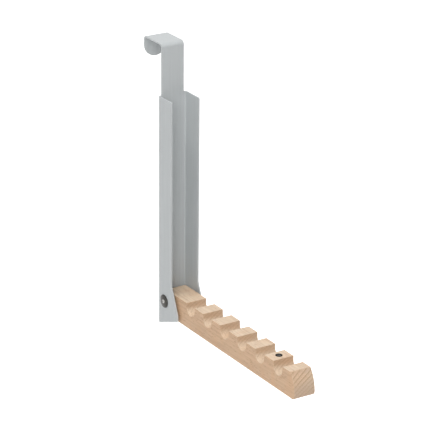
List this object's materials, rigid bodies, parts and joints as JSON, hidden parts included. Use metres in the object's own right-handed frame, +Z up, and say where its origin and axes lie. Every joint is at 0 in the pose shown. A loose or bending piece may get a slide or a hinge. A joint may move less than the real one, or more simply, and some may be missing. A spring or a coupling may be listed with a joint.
{
  "type": "over-door folding hanger bracket",
  "caption": "Folded steel channel whose web runs up as a strap and hooks over a door. Its notched wooden arm swings down to hold clothes hangers and folds upright into the channel.",
  "frame": {"origin": "middle of the underside of the strap's bend, where it sits on the top edge of a door", "axes": "+Z up, -Y away from the door towards the arm's tip, X across"},
  "size_m": [0.045, 0.3494, 0.3724],
  "materials": {
    "painted_steel": "silver-grey satin powder coat",
    "beech": "fine-sanded beech with a clear matt finish",
    "dark_nickel": "black nickel plate",
    "black_zinc": "black zinc plate",
    "nylon": "natural moulded nylon",
    "rubber": "dark grey moulded rubber",
    "magnet": "dark sintered magnet"
  },
  "bodies": {
    "bracket": {"channel": "painted_steel", "rear_pad_left": "rubber", "rear_pad_right": "rubber", "pivot_bolt": "dark_nickel", "sleeve_nut": "dark_nickel"},
    "hanging_arm": {"arm": "beech", "bush_left": "nylon", "bush_right": "nylon", "magnet_cup": "black_zinc", "magnet_core": "magnet", "magnet_screw": "dark_nickel"}
  },
  "joints": [
    {"name": "arm_fold", "type": "hinge", "parent": "bracket", "child": "hanging_arm", "pos_m": [0, -0.0362, -0.336], "axis": [-1, 0, 0], "range_deg": [0, 90]}
  ]
}
